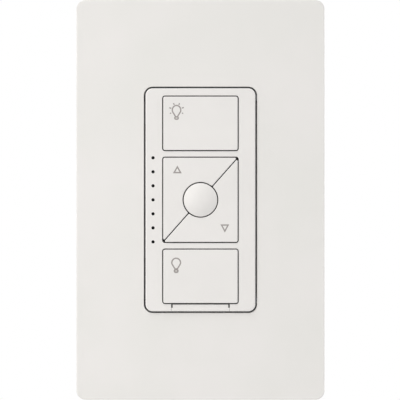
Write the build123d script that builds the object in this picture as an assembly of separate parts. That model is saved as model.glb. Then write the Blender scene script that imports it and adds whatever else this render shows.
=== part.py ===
"""Wall dimmer with a bank of five snap-in keys, a pull-out service tab and a screwless plate.

Every piece is modelled in a face frame: x to the right, y up, z out of the wall, with z = 0 on the
wall surface and the origin at the centre of the face. The last step turns it so that z points up
and the face looks along -Y. All sizes are millimetres.
"""

import math
import os

from build123d import *

# Driving dimensions: keys
key_width = 22.14
key_height = 15.91
pair_height = 25.07
round_key_radius = 4.99
key_gap = 0.33
key_rib = 1.63
key_proud = 0.4
key_travel = 0.6
key_wall = 1.2
key_corner_radius = 0.5
key_tip_radius = 0.27
key_edge_radius = 0.2
dome_height = 1.25
round_key_wall = 0.9
post_radius = 1.5
post_reach = 0.7

# Driving dimensions: snap legs, shared by keys, bezel and plate
leg_thickness = 0.8
leg_width = 3.0
leg_setback = 0.3
leg_shift = 3.0
barb_reach = 0.5
barb_height = 0.8
barb_clearance = 0.4
leg_clearance = 0.15

# Driving dimensions: bezel and status lights
side_margin = 4.95
end_margin = 2.135
bezel_wall = 1.2
bezel_skin = 1.2
bezel_corner_radius = 2.1
bezel_edge_radius = 0.35
bezel_proud = 0.8
window_edge = 0.12
well_wall = 0.8
well_floor = 1.0
clip_width = 5.0
clip_offset = 20.0
light_count = 7
light_pitch = 4.174
light_shift = 0.255
light_radius = 0.44
light_recess = 0.3
light_bar_height = 1.5

# Driving dimensions: service tab and its air-gap contacts
tab_width = 16.58
tab_side_gap = 0.42
tab_top_gap = 0.12
tab_lip_height = 1.05
tab_lip_gap = 0.06
tab_travel = 4.0
tab_leg_width = 8.0
tab_leg_thickness = 0.8
tab_stop_reach = 0.8
tab_stop_height = 1.2
nail_groove = 0.5
contact_thickness = 0.5
contact_length = 4.0
contact_overlap = 2.5
contact_width = 2.0
contact_spacing = 5.0

# Driving dimensions: yoke, plate and its adapter
yoke_gap = 0.2
yoke_thickness = 1.6
yoke_lip = 0.5
yoke_end = 4.1
yoke_ear_inset = 6.5
yoke_corner_radius = 3.0
mounting_setback = 6.65
mounting_slot_length = 7.0
adapter_setback = 6.75
adapter_thickness = 2.0
adapter_clearance = 0.3
adapter_rim = 1.5
adapter_opening_clearance = 0.8
rib_thickness = 1.2
rib_setback = 0.4
rib_pitch = 13.0
collar_height = 1.0
collar_wall = 1.2
plate_side_overlap = 14.53
plate_end_overlap = 7.1
plate_wall = 2.0
plate_corner_radius = 2.75
plate_edge_radius = 0.25
plate_draft = 0.8
plate_gap = 0.48
plate_leg_width = 6.0
pry_slot_width = 9.0
pry_slot_depth = 1.2

# Driving dimensions: rear housing
housing_margin = 5.65
housing_end_margin = 1.8
housing_depth = 30.0
housing_wall = 2.0
housing_draft = 1.0
housing_corner_radius = 3.0
housing_edge_radius = 1.6
boss_radius = 3.4
boss_inset = 2.8
boss_recess_radius = 2.2
boss_seat = 8.0
ledge_depth = 3.6
ledge_width = 5.0
ledge_offset = 15.0
standoff_height = 2.0
standoff_radius = 2.2
lead_hole_radius = 1.7
lead_collar_radius = 3.2
lead_collar_height = 1.0
lead_spacing = 8.0
lead_setback = 2.4

# Driving dimensions: fasteners
screw_clearance = 0.05
mounting_thread_radius = 1.75
mounting_neck_radius = 1.55
mounting_head_radius = 3.4
mounting_head_height = 1.8
mounting_screw_length = 24.0
retainer_size = 9.0
retainer_thickness = 0.8
adapter_screw_radius = 1.75
adapter_head_radius = 3.2
adapter_head_height = 1.6
adapter_seat = 1.0
housing_screw_radius = 1.1
housing_head_radius = 1.9
housing_head_height = 1.4
board_screw_radius = 0.9
board_screw_length = 6.0
board_head_radius = 1.6
board_head_height = 1.1

# Driving dimensions: boards and components
board_thickness = 1.6
board_clearance = 1.0
switch_size = 6.0
switch_height = 3.4
plunger_radius = 1.75
plunger_margin = 0.3
plunger_depth = 1.6
plunger_clearance = 0.1
led_length = 1.6
led_width = 0.8
led_height = 0.8
led_air = 0.2
chip_height = 0.9
processor_size = 7.0
radio_size = 5.0
antenna_length = 22.0
antenna_height = 2.8
antenna_strip = 0.5
triac_width = 10.0
triac_body_height = 9.0
triac_body_thickness = 4.3
triac_tab_height = 6.6
triac_tab_thickness = 1.3
triac_offset = (9.4, 9.0)
triac_lead_width = 0.9
triac_lead_pitch = 2.54
triac_lead_drop = 2.0
pad_thickness = 0.3
triac_screw_radius = 1.5
triac_screw_head_radius = 2.7
triac_screw_head_height = 1.8
choke_radius = 9.5
choke_hole_radius = 5.2
choke_height = 8.0
winding_thickness = 0.9
winding_turns = 18
choke_place = (-5.0, 13.0)
film_size = (18.0, 8.0, 13.5)
film_place = (-6.0, -8.0)
can_radius = 5.0
can_height = 12.0
can_place = (10.0, -12.0)
can_bevel = 0.5
varistor_radius = 5.0
varistor_thickness = 4.0
varistor_place = (10.4, 12.0)
fuse_radius = 2.0
fuse_length = 8.0
fuse_place = (10.0, 18.4)
link_size = (7.5, 2.5)
link_place = (-12.0, -19.8)

# Sizes that follow from the keys: windows, bezel, housing, yoke and plate
window_width = key_width + 2 * key_gap
window_height = key_height + 2 * key_gap
pair_window_height = pair_height + 2 * key_gap
key_offset = pair_window_height / 2 + key_rib + window_height / 2
bezel_width = window_width + 2 * side_margin
bezel_height = pair_window_height + 2 * (key_rib + window_height + end_margin)
housing_width = bezel_width + 2 * housing_margin
housing_height = bezel_height + 2 * housing_end_margin
inner_width = housing_width - 2 * housing_wall
inner_height = housing_height - 2 * housing_wall
mounting_spacing = housing_height + 2 * mounting_setback
adapter_spacing = mounting_spacing + 2 * adapter_setback
yoke_width = housing_width + 2 * yoke_lip
yoke_height = adapter_spacing + 2 * yoke_end
plate_width = yoke_width + 2 * plate_side_overlap
plate_height = yoke_height + 2 * plate_end_overlap
adapter_width = plate_width - 2 * (plate_wall + adapter_clearance)
adapter_height = plate_height - 2 * (plate_wall + adapter_clearance)
adapter_corner_radius = max(plate_corner_radius - plate_wall, adapter_clearance)

# Planes of the stack, measured out of the wall
yoke_back = yoke_gap
yoke_front = yoke_back + yoke_thickness
adapter_front = yoke_front + adapter_thickness
plate_inner = adapter_front + collar_height
plate_front = plate_inner + plate_wall
bezel_front = plate_front + bezel_proud
key_front = bezel_front + key_proud
floor_back = yoke_front + barb_height + key_travel + barb_clearance
floor_front = floor_back + well_floor
key_bottom = floor_front + key_travel + leg_clearance
key_inner = key_front - key_wall
post_tip = yoke_back - post_reach
switch_top = post_tip - key_travel - plunger_margin
board_front = switch_top - switch_height
board_back = board_front - board_thickness
housing_back = yoke_back - housing_depth
boss_plane = yoke_back - boss_seat
housing_floor = housing_back + housing_wall
power_back = housing_floor + standoff_height
power_front = power_back + board_thickness

# Places in the face that several pieces share
light_x = -(window_width / 2 + side_margin / 2 + light_shift)
light_rows = [light_pitch * (i - (light_count - 1) / 2) for i in range(light_count)]
boss_x = inner_width / 2 - boss_inset
boss_y = inner_height / 2 - boss_inset
board_half_height = boss_y - boss_radius - leg_clearance
control_half_width = inner_width / 2 - board_clearance
power_half_width = inner_width / 2 - ledge_depth - board_clearance / 2
standoff_x = power_half_width - standoff_radius - board_clearance
standoff_y = board_half_height - standoff_radius - board_clearance
ledge_x = inner_width / 2 - ledge_depth / 2
board_screw_x = inner_width / 2 - board_head_radius - leg_setback
lead_y = -(board_half_height - lead_setback)
tab_top = -(key_offset + window_height / 2)
tab_bottom = -bezel_height / 2
tab_leg_inner = tab_top
tab_leg_outer = tab_leg_inner - tab_leg_thickness
tab_stop = yoke_back - tab_travel - barb_clearance
contact_face = tab_leg_inner + contact_thickness
contact_back = power_front + contact_length + contact_overlap
plate_leg_x = (yoke_width / 2 + adapter_width / 2 - adapter_rim) / 2
plate_leg_y = mounting_spacing / 2
diagonal_angle = math.degrees(math.atan2(pair_window_height, window_width))
corner_distance = math.hypot(window_width, pair_window_height) / 2
split_post_distance = (round_key_radius + key_gap + corner_distance) / 2
split_post = (
    -split_post_distance * window_width / 2 / corner_distance,
    split_post_distance * pair_window_height / 2 / corner_distance,
)
post_places = {
    "on": (0, key_offset),
    "raise": split_post,
    "favourite": (0, 0),
    "lower": (-split_post[0], -split_post[1]),
    "off": (0, -key_offset),
}
triac_screw_place = (
    triac_offset[0],
    triac_offset[1] + (triac_body_height + triac_tab_height) / 2 - triac_tab_height / 2,
)
triac_lead_y = triac_offset[1] - (triac_body_height + triac_tab_height) / 2 - triac_lead_drop


# Shape helpers

def slab(sketch, bottom, top):
    """The sketch pulled from one plane of the stack to another."""
    return extrude(Pos(0, 0, bottom) * sketch, amount=top - bottom)


def block(x_range, y_range, z_range):
    """A plain box between two corners."""
    lows, highs = zip(x_range, y_range, z_range)
    sizes = [high - low for low, high in zip(lows, highs)]
    return Pos(*lows) * Box(*sizes, align=(Align.MIN, Align.MIN, Align.MIN))


def rod(radius, bottom, top, x=0, y=0):
    """A round bar along z."""
    return Pos(x, y, bottom) * Cylinder(
        radius, top - bottom, align=(Align.CENTER, Align.CENTER, Align.MIN)
    )


def both_ends(piece):
    """The piece and its copy at the opposite end of the face."""
    return [piece, Rot(0, 0, 180) * piece]


def four_corners(x, y):
    """The four points at these distances from the centre."""
    return [(sx * x, sy * y) for sx in (-1, 1) for sy in (-1, 1)]


def snap_leg(thickness, width, top, catch, reach, height):
    """A snap leg with its outer face on x = 0, whose barb points to +x and hooks under z = catch."""
    profile = make_face(
        Polyline(
            (-thickness, top),
            (0, top),
            (0, catch),
            (reach, catch),
            (reach, catch - height / 3),
            (0, catch - height),
            (-thickness, catch - height),
            close=True,
        )
    )
    return extrude(Plane.XZ * profile, amount=width / 2, both=True)


def snap_slot(thickness, width, bottom, top, reach):
    """The slot that lets such a leg pass, with room on its inner side for the barb to spring in."""
    return block(
        (-thickness - reach - leg_clearance, leg_clearance),
        (-width / 2 - leg_clearance, width / 2 + leg_clearance),
        (bottom, top),
    )


# Outlines and legs of the keys

def key_outline(inset=0.0):
    """The on key, and turned over the off key."""
    radius = max(key_corner_radius - inset, key_corner_radius / 4)
    return RectangleRounded(key_width - 2 * inset, key_height - 2 * inset, radius)


def split_outline(inset=0.0):
    """The raise key: the half above the diagonal of the square, less the room for the round key."""
    whole = Rectangle(key_width - 2 * inset, pair_height - 2 * inset)
    reach = 2 * corner_distance
    above = Pos(0, reach / 2 + key_gap / 2 + inset) * Rectangle(2 * reach, reach)
    half = whole & (Rot(0, 0, diagonal_angle) * above)
    half -= Circle(round_key_radius + key_gap + inset)
    if inset:
        return half
    square_corner = (-key_width / 2, pair_height / 2)
    half = fillet(half.vertices().sort_by_distance(square_corner)[0], key_corner_radius)
    return fillet(half.vertices().sort_by_distance(square_corner)[2:], key_tip_radius)


key_legs = {
    "on": [
        Pos(side * (key_width / 2 - key_wall - leg_setback), key_offset) * Rot(0, 0, angle)
        for side, angle in ((1, 0), (-1, 180))
    ],
    "raise": [
        Pos(-(key_width / 2 - key_wall - leg_setback), -leg_shift) * Rot(0, 0, 180),
        Pos(leg_shift, pair_height / 2 - key_wall - leg_setback) * Rot(0, 0, 90),
    ],
    "favourite": [
        Rot(0, 0, angle) * Pos(round_key_radius - round_key_wall - leg_setback, 0)
        for angle in (0, 180)
    ],
}
key_legs["off"] = [Rot(0, 0, 180) * leg for leg in key_legs["on"]]
key_legs["lower"] = [Rot(0, 0, 180) * leg for leg in key_legs["raise"]]


def key_legs_and_post(name):
    """The snap legs and the switch post under one key."""
    leg = snap_leg(leg_thickness, leg_width, key_inner, floor_back, barb_reach, barb_height)
    post = rod(post_radius, post_tip, key_inner, *post_places[name])
    return [place * leg for place in key_legs[name]] + [post]


def flat_key(name, outline):
    """A hollow key cap with a softened front edge, on its legs and post."""
    cap = slab(outline(), key_bottom, key_front)
    cap = fillet(cap.faces().sort_by(Axis.Z)[-1].edges(), key_edge_radius)
    cap -= slab(outline(key_wall), key_bottom, key_inner)
    return cap + key_legs_and_post(name)


def make_on_key():
    return flat_key("on", lambda inset=0.0: Pos(0, key_offset) * key_outline(inset))


def make_off_key():
    return Rot(0, 0, 180) * make_on_key()


def make_raise_key():
    return flat_key("raise", split_outline)


def make_lower_key():
    return Rot(0, 0, 180) * make_raise_key()


def make_favourite_key():
    """The round key: a shallow dome over a hollow drum."""
    crown = key_front + dome_height
    sphere_radius = (round_key_radius**2 + dome_height**2) / (2 * dome_height)
    drum = rod(round_key_radius, key_bottom, crown)
    drum &= Pos(0, 0, crown - sphere_radius) * Sphere(sphere_radius)
    drum -= rod(round_key_radius - round_key_wall, key_bottom, key_inner)
    return drum + key_legs_and_post("favourite")


# Bezel and light pipe

def make_bezel():
    """The front frame: a tub whose wells guide the keys, clipped through the yoke."""
    outline = RectangleRounded(bezel_width, bezel_height, bezel_corner_radius)
    body = slab(outline, yoke_front, bezel_front)
    body = fillet(body.faces().sort_by(Axis.Z)[-1].edges(), bezel_edge_radius)
    windows = [
        (window_height, key_offset),
        (pair_window_height, 0),
        (window_height, -key_offset),
    ]
    for height, centre in windows:
        window = Pos(0, centre) * RectangleRounded(
            window_width, height, key_corner_radius + key_gap
        )
        body -= slab(window, floor_front, bezel_front)
    front = body.faces().sort_by(Axis.Z)[-1]
    body = chamfer(front.inner_wires().edges(), window_edge)
    body -= bezel_hollows()
    body -= bezel_holes()
    return body + bezel_clips()


def bezel_hollows():
    """The space behind the well floors, and the cored-out margins beside the wells."""
    inner_half = bezel_width / 2 - bezel_wall
    end = bezel_height / 2 - bezel_wall
    well_side = window_width / 2 + well_wall
    behind = block((-inner_half, inner_half), (-end, end), (yoke_front, floor_back))
    margins = [
        block(x_range, (-end, end), (yoke_front, bezel_front - bezel_skin))
        for x_range in ((-inner_half, -well_side), (well_side, inner_half))
    ]
    return [behind] + margins


def bezel_holes():
    """Holes for the status lights, key posts, key legs and service tab."""
    lights = [
        rod(light_radius + screw_clearance, bezel_front - bezel_skin, bezel_front, light_x, y)
        for y in light_rows
    ]
    posts = [
        rod(post_radius + leg_setback, floor_back, floor_front, *place)
        for place in post_places.values()
    ]
    slot = snap_slot(leg_thickness, leg_width, floor_back, floor_front, barb_reach)
    slots = [place * slot for legs in key_legs.values() for place in legs]
    tab_half = tab_width / 2 + tab_side_gap
    notch = block((-tab_half, tab_half), (tab_bottom, tab_top), (floor_front, bezel_front))
    return lights + posts + slots + [notch, tab_leg_slot(yoke_front, floor_front)]


def tab_leg_slot(bottom, top):
    """The slot through which the service tab's leg slides."""
    half = tab_leg_width / 2 + leg_clearance
    return block(
        (-half, half),
        (tab_leg_outer - leg_clearance, tab_leg_inner + leg_clearance),
        (bottom, top),
    )


def bezel_clip_places():
    """Two clips on each long side of the bezel."""
    return [
        Pos(side * bezel_width / 2, end * clip_offset) * Rot(0, 0, angle)
        for side, angle in ((1, 0), (-1, 180))
        for end in (1, -1)
    ]


def bezel_clips():
    """The side walls' snap legs, hooked behind the yoke."""
    clip = snap_leg(bezel_wall, clip_width, floor_back, yoke_back, barb_reach, barb_height)
    return [place * clip for place in bezel_clip_places()]


def make_light_pipe():
    """One moulding: a bar on the yoke with a row of rods that carry the status lights forward."""
    half_length = light_rows[-1] + 2 * light_radius
    pipe = block(
        (-bezel_width / 2 + bezel_wall + leg_clearance, -window_width / 2 - well_wall),
        (-half_length, half_length),
        (yoke_front, yoke_front + light_bar_height),
    )
    back = board_front + led_height + led_air
    rods = [rod(light_radius, back, bezel_front - light_recess, light_x, y) for y in light_rows]
    return pipe + rods


# Service tab and its air-gap contacts

def make_service_tab():
    """The pull tab: a bar flush with the bezel's lower edge on a leg that reaches into the housing."""
    half = tab_width / 2
    lip_half = half + tab_side_gap - tab_lip_gap
    lip_top = tab_bottom + tab_lip_height
    bar_top = tab_top - tab_top_gap
    bar = block((-half, half), (lip_top, bar_top), (floor_front, bezel_front))
    bar += block((-lip_half, lip_half), (tab_bottom, lip_top), (floor_front, bezel_front))
    lower_edge = bar.edges().filter_by(Axis.X).group_by(Axis.Z)[-1].sort_by(Axis.Y)[0]
    bar = fillet(lower_edge, bezel_edge_radius)
    groove = Pos(0, tab_bottom, (floor_front + bezel_front) / 2) * Rot(0, 90, 0)
    bar -= groove * Cylinder(nail_groove, tab_leg_width)
    leg_half = tab_leg_width / 2
    leg_y = (tab_leg_outer, tab_leg_inner)
    leg = block((-leg_half, leg_half), leg_y, (contact_back - contact_overlap, floor_front))
    stops = [
        block(x_range, leg_y, (tab_stop - tab_stop_height, tab_stop))
        for x_range in (
            (-leg_half - tab_stop_reach, -leg_half),
            (leg_half, leg_half + tab_stop_reach),
        )
    ]
    return bar + leg + stops


def make_bridge_contact():
    """The strip on the tab's leg that bridges the two fixed contacts while the tab is pushed in."""
    half = (contact_spacing + contact_width) / 2
    bottom = contact_back - contact_overlap
    return block(
        (-half, half), (tab_leg_inner, contact_face), (bottom, bottom + contact_length)
    )


def make_airgap_contacts():
    """Two bent strips on the power board that press on the bridge."""
    foot_start = lead_y + lead_collar_radius
    contacts = []
    for side in (-1, 1):
        x = side * contact_spacing / 2
        x_range = (x - contact_width / 2, x + contact_width / 2)
        foot = block(
            x_range, (contact_face, foot_start), (power_front, power_front + contact_thickness)
        )
        blade = block(
            x_range, (contact_face, contact_face + contact_thickness), (power_front, contact_back)
        )
        contacts.append(foot + blade)
    return Compound(contacts)


# Yoke, mounting screws and their retainers

def make_yoke():
    """The stamped strap: carries everything, spreads heat, and is screwed to the wall box."""
    ears = RectangleRounded(yoke_width - 2 * yoke_ear_inset, yoke_height, yoke_corner_radius)
    middle = RectangleRounded(yoke_width, housing_height + 2 * yoke_lip, yoke_corner_radius)
    yoke = slab(ears + middle, yoke_back, yoke_front)
    slot_radius = mounting_neck_radius + leg_clearance + barb_reach
    slot = SlotOverall(mounting_slot_length, 2 * slot_radius)
    for end in (1, -1):
        yoke -= slab(Pos(0, end * mounting_spacing / 2) * slot, yoke_back, yoke_front)
        yoke -= rod(
            adapter_screw_radius + screw_clearance,
            yoke_back,
            yoke_front,
            0,
            end * adapter_spacing / 2,
        )
    for place in four_corners(boss_x, boss_y):
        yoke -= rod(housing_screw_radius + screw_clearance, yoke_back, yoke_front, *place)
    for place in post_places.values():
        yoke -= rod(post_radius + barb_clearance, yoke_back, yoke_front, *place)
    yoke -= rod(triac_screw_radius + screw_clearance, yoke_back, yoke_front, *triac_screw_place)
    light_slot = SlotOverall(
        2 * (light_rows[-1] + light_radius + leg_clearance),
        2 * (light_radius + leg_clearance),
        rotation=90,
    )
    yoke -= slab(Pos(light_x, 0) * light_slot, yoke_back, yoke_front)
    clip_slot = snap_slot(bezel_wall, clip_width, yoke_back, yoke_front, barb_reach)
    yoke -= [place * clip_slot for place in bezel_clip_places()]
    return yoke - tab_leg_slot(yoke_back, yoke_front)


def make_mounting_screws():
    """Two captive screws for the wall box, with a thin neck inside the yoke."""
    thread_start = yoke_back - retainer_thickness - barb_clearance
    screw = rod(mounting_head_radius, yoke_front, yoke_front + mounting_head_height)
    screw = chamfer(screw.edges().sort_by(Axis.Z)[-1], mounting_head_height / 3)
    screw += rod(mounting_neck_radius, thread_start, yoke_front)
    thread = rod(mounting_thread_radius, yoke_back - mounting_screw_length, thread_start)
    thread = chamfer(thread.edges().sort_by(Axis.Z)[0], mounting_thread_radius / 3)
    return Compound(both_ends(Pos(0, mounting_spacing / 2) * (screw + thread)))


def make_screw_retainers():
    """Fibre squares that keep the mounting screws in the yoke."""
    back = yoke_back - retainer_thickness
    retainer = slab(Rectangle(retainer_size, retainer_size), back, yoke_back)
    retainer -= rod(mounting_neck_radius + screw_clearance, back, yoke_back)
    return Compound(both_ends(Pos(0, mounting_spacing / 2) * retainer))


# Screwless plate, its adapter and the adapter's screws

def make_wallplate():
    """The cover: a drafted shell with softened edges and four snap legs behind it."""
    outline = RectangleRounded(plate_width, plate_height, plate_corner_radius)
    shell = extrude(outline, amount=plate_front, taper=plate_draft)
    shell = fillet(shell.faces().sort_by(Axis.Z)[-1].edges(), plate_edge_radius)
    hollow = RectangleRounded(
        plate_width - 2 * plate_wall,
        plate_height - 2 * plate_wall,
        adapter_corner_radius + adapter_clearance,
    )
    shell -= slab(hollow, 0, plate_inner)
    opening = RectangleRounded(
        bezel_width + 2 * plate_gap, bezel_height + 2 * plate_gap, bezel_corner_radius + plate_gap
    )
    shell -= slab(opening, plate_inner, plate_front)
    front = shell.faces().sort_by(Axis.Z)[-1]
    shell = chamfer(front.inner_wires().edges(), window_edge)
    half_slot = pry_slot_width / 2
    shell -= block(
        (-half_slot, half_slot),
        (-plate_height / 2, -plate_height / 2 + plate_wall),
        (0, pry_slot_depth),
    )
    leg = snap_leg(
        leg_thickness, plate_leg_width, plate_inner, yoke_front, barb_reach, barb_height
    )
    return shell + [place * leg for place in plate_leg_places()]


def plate_leg_places():
    """The plate's snap legs stand beside the yoke, two on each side."""
    return [
        Pos(side * plate_leg_x, end * plate_leg_y) * Rot(0, 0, angle)
        for side, angle in ((1, 0), (-1, 180))
        for end in (1, -1)
    ]


def make_wallplate_adapter():
    """The frame screwed to the yoke, onto which the plate snaps."""
    outline = RectangleRounded(adapter_width, adapter_height, adapter_corner_radius)
    inside = RectangleRounded(
        adapter_width - 2 * adapter_rim, adapter_height - 2 * adapter_rim, adapter_corner_radius
    )
    frame = slab(outline, yoke_back, adapter_front) - slab(inside, yoke_back, yoke_front)
    opening_width = bezel_width + 2 * adapter_opening_clearance
    opening_height = bezel_height + 2 * adapter_opening_clearance
    opening_radius = bezel_corner_radius + adapter_opening_clearance
    collar = RectangleRounded(
        opening_width + 2 * collar_wall,
        opening_height + 2 * collar_wall,
        opening_radius + collar_wall,
    )
    frame += slab(collar, adapter_front, plate_inner)
    opening = RectangleRounded(opening_width, opening_height, opening_radius)
    frame -= slab(opening, yoke_front, plate_inner)
    head_room = mounting_head_radius + barb_clearance
    seat = yoke_front + adapter_seat
    for end in (1, -1):
        frame -= rod(head_room, yoke_front, plate_inner, 0, end * mounting_spacing / 2)
        y = end * adapter_spacing / 2
        frame -= rod(adapter_screw_radius + leg_clearance, yoke_front, seat, 0, y)
        frame -= rod(adapter_head_radius + leg_clearance, seat, adapter_front, 0, y)
    slot = snap_slot(leg_thickness, plate_leg_width, yoke_front, adapter_front, barb_reach)
    frame -= [place * slot for place in plate_leg_places()]
    return frame + adapter_ribs()


def adapter_ribs():
    """Stiffening ribs on the adapter's back: one along each side of the yoke, with cross ribs."""
    near = yoke_width / 2 + adapter_opening_clearance
    far = adapter_width / 2 - adapter_rim
    end = plate_leg_y - plate_leg_width
    depth = (rib_setback, yoke_front)
    count = math.floor(end / rib_pitch)
    rows = [rib_pitch * i for i in range(-count, count + 1)]
    ribs = []
    for x_range, spine in (
        ((near, far), (near, near + rib_thickness)),
        ((-far, -near), (-near - rib_thickness, -near)),
    ):
        ribs.append(block(spine, (-end, end), depth))
        for y in rows:
            ribs.append(block(x_range, (y - rib_thickness / 2, y + rib_thickness / 2), depth))
    return ribs


def make_adapter_screws():
    """The two screws that hold the adapter on the yoke."""
    seat = yoke_front + adapter_seat
    screw = rod(adapter_head_radius, seat, seat + adapter_head_height)
    screw = chamfer(screw.edges().sort_by(Axis.Z)[-1], adapter_head_height / 3)
    screw += rod(adapter_screw_radius, yoke_back, seat)
    return Compound(both_ends(Pos(0, adapter_spacing / 2) * screw))


# Rear housing and its screws

def make_rear_housing():
    """The insulated box behind the yoke, with screw bosses, board ledges and lead holes."""
    outline = RectangleRounded(housing_width, housing_height, housing_corner_radius)
    rim = Pos(0, 0, yoke_back) * outline
    box = extrude(rim, amount=housing_depth, dir=(0, 0, -1), taper=housing_draft)
    box = fillet(box.faces().sort_by(Axis.Z)[0].edges(), housing_edge_radius)
    inner_radius = max(housing_corner_radius - housing_wall, leg_clearance)
    inside = RectangleRounded(inner_width, inner_height, inner_radius)
    room = slab(inside, housing_floor, yoke_back)
    box -= room
    box += housing_supports() & room
    for x in lead_places():
        box += rod(lead_collar_radius, housing_back - lead_collar_height, housing_back, x, lead_y)
        box -= rod(lead_hole_radius, housing_back - lead_collar_height, housing_floor, x, lead_y)
    for place in four_corners(boss_x, boss_y):
        box -= rod(boss_recess_radius, housing_back, boss_plane, *place)
        box -= rod(housing_screw_radius + leg_clearance, boss_plane, yoke_back, *place)
    hole_end = board_back - board_screw_length
    for place in four_corners(board_screw_x, ledge_offset):
        box -= rod(board_screw_radius + screw_clearance, hole_end, board_back, *place)
    return box


def lead_places():
    """Where the leads leave through the back wall."""
    return [lead_spacing * i for i in (-1, 0, 1)]


def housing_supports():
    """Bosses for the housing screws, ledges under the control board, pads under the power board."""
    bosses = [rod(boss_radius, housing_floor, yoke_back, *p) for p in four_corners(boss_x, boss_y)]
    ledges = [
        block(
            (x - ledge_depth / 2, x + ledge_depth / 2),
            (y - ledge_width / 2, y + ledge_width / 2),
            (housing_floor, board_back),
        )
        for x, y in four_corners(ledge_x, ledge_offset)
    ]
    pads = [
        rod(standoff_radius, housing_floor, power_back, *p)
        for p in four_corners(standoff_x, standoff_y)
    ]
    return Part() + bosses + ledges + pads


def make_housing_screws():
    """Four screws up through the bosses into the yoke."""
    screw = rod(housing_head_radius, boss_plane - housing_head_height, boss_plane)
    screw += rod(housing_screw_radius, boss_plane, yoke_front)
    return Compound([Pos(*place) * screw for place in four_corners(boss_x, boss_y)])


# Control board: switches, status lights, radio

def make_control_board():
    """The board behind the yoke that carries the key switches."""
    board = slab(Rectangle(2 * control_half_width, 2 * board_half_height), board_back, board_front)
    for place in four_corners(board_screw_x, ledge_offset):
        board -= rod(board_screw_radius + leg_clearance, board_back, board_front, *place)
    for x in triac_lead_places():
        board -= rod(triac_lead_width, board_back, board_front, x, triac_lead_y)
    return board


def make_board_screws():
    """Screws that hold the control board on its ledges."""
    screw = rod(board_head_radius, board_front, board_front + board_head_height)
    screw += rod(board_screw_radius, board_back - board_screw_length + leg_setback, board_front)
    return Compound([Pos(*place) * screw for place in four_corners(board_screw_x, ledge_offset)])


def make_key_switches():
    """Five push switches, each a square body with a well for its plunger."""
    body = slab(Rectangle(switch_size, switch_size), board_front, switch_top)
    well_bottom = switch_top - plunger_depth - key_travel - plunger_margin
    body -= rod(plunger_radius + plunger_clearance, well_bottom, switch_top)
    return Compound([Pos(*place) * body for place in post_places.values()])


def make_plunger(name):
    """The switch plunger that stays against the post of its key."""
    return rod(plunger_radius, switch_top - plunger_depth, post_tip, *post_places[name])


def make_status_leds():
    """The row of lights behind the light pipe."""
    led = slab(Rectangle(led_width, led_length), board_front, board_front + led_height)
    return Compound([Pos(light_x, y) * led for y in light_rows])


def make_control_chips():
    """Processor and radio on the rear of the control board."""
    split = post_places["lower"]
    chips = [
        Pos(split[0] / 2, split[0]) * Rectangle(processor_size, processor_size),
        Pos(-split[0], split[0]) * Rectangle(radio_size, radio_size),
    ]
    return Compound([slab(chip, board_back - chip_height, board_back) for chip in chips])


def make_antenna():
    """A bent strip along the right edge of the control board."""
    edge = control_half_width - board_clearance
    half = antenna_length / 2
    x_range = (edge - antenna_strip, edge)
    top = board_front + antenna_height
    strip = block(x_range, (-half, half), (top - antenna_strip, top))
    for y_range in ((-half, -half + antenna_strip), (half - antenna_strip, half)):
        strip += block(x_range, y_range, (board_front, top))
    return strip


def make_board_link():
    """The pin block that joins the two boards."""
    return slab(Pos(*link_place) * Rectangle(*link_size), power_front, board_back)


# Power board and its components

def make_power_board():
    """The mains board on its pads at the back of the housing."""
    board = slab(Rectangle(2 * power_half_width, 2 * board_half_height), power_back, power_front)
    for x in lead_places():
        board -= rod(lead_hole_radius, power_back, power_front, x, lead_y)
    return board


def triac_lead_places():
    return [triac_offset[0] + triac_lead_pitch * i for i in (-1, 0, 1)]


def make_power_triac():
    """The power switch: moulded body and metal tab against the yoke, leads bent back to the board."""
    x, y = triac_offset
    half = triac_width / 2
    top = y + (triac_body_height + triac_tab_height) / 2
    middle = top - triac_tab_height
    bottom = middle - triac_body_height
    face = yoke_back - pad_thickness
    triac = block((x - half, x + half), (middle, top), (face - triac_tab_thickness, face))
    triac += block((x - half, x + half), (bottom, middle), (face - triac_body_thickness, face))
    triac -= rod(
        triac_screw_radius + leg_clearance, face - triac_tab_thickness, face, *triac_screw_place
    )
    lead_half = triac_lead_width / 2
    lead_z = face - triac_tab_thickness - lead_half
    for lead_x in triac_lead_places():
        x_range = (lead_x - lead_half, lead_x + lead_half)
        drop = (triac_lead_y - lead_half, bottom)
        triac += block(x_range, drop, (lead_z - lead_half, lead_z + lead_half))
        run = (triac_lead_y - lead_half, triac_lead_y + lead_half)
        triac += block(x_range, run, (power_front, lead_z + lead_half))
    return triac


def make_triac_pad():
    """The insulating pad between the triac and the yoke."""
    height = triac_body_height + triac_tab_height
    back = yoke_back - pad_thickness
    pad = slab(Pos(*triac_offset) * Rectangle(triac_width, height), back, yoke_back)
    return pad - rod(triac_screw_radius + leg_clearance, back, yoke_back, *triac_screw_place)


def make_triac_screw():
    """The screw that clamps the triac to the yoke."""
    seat = yoke_back - pad_thickness - triac_tab_thickness
    screw = rod(triac_screw_head_radius, seat - triac_screw_head_height, seat)
    return Pos(*triac_screw_place) * (screw + rod(triac_screw_radius, seat, yoke_front))


def make_choke_core():
    """The ring core of the noise filter, lying above the board on its winding."""
    bottom = power_front + winding_thickness
    ring = Circle(choke_radius) - Circle(choke_hole_radius)
    return slab(Pos(*choke_place) * ring, bottom, bottom + choke_height)


def make_choke_winding():
    """The turns of wire round the core, each a closed band."""
    wire = winding_thickness
    bottom = power_front + wire
    outer = (choke_hole_radius - wire, choke_radius + wire)
    band = block(outer, (-wire / 2, wire / 2), (bottom - wire, bottom + choke_height + wire))
    band -= block(
        (choke_hole_radius, choke_radius), (-wire / 2, wire / 2), (bottom, bottom + choke_height)
    )
    core = make_choke_core()
    turns = [
        Pos(*choke_place) * Rot(0, 0, 360 * i / winding_turns) * band
        for i in range(winding_turns)
    ]
    return Compound([turn - core for turn in turns])


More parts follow.
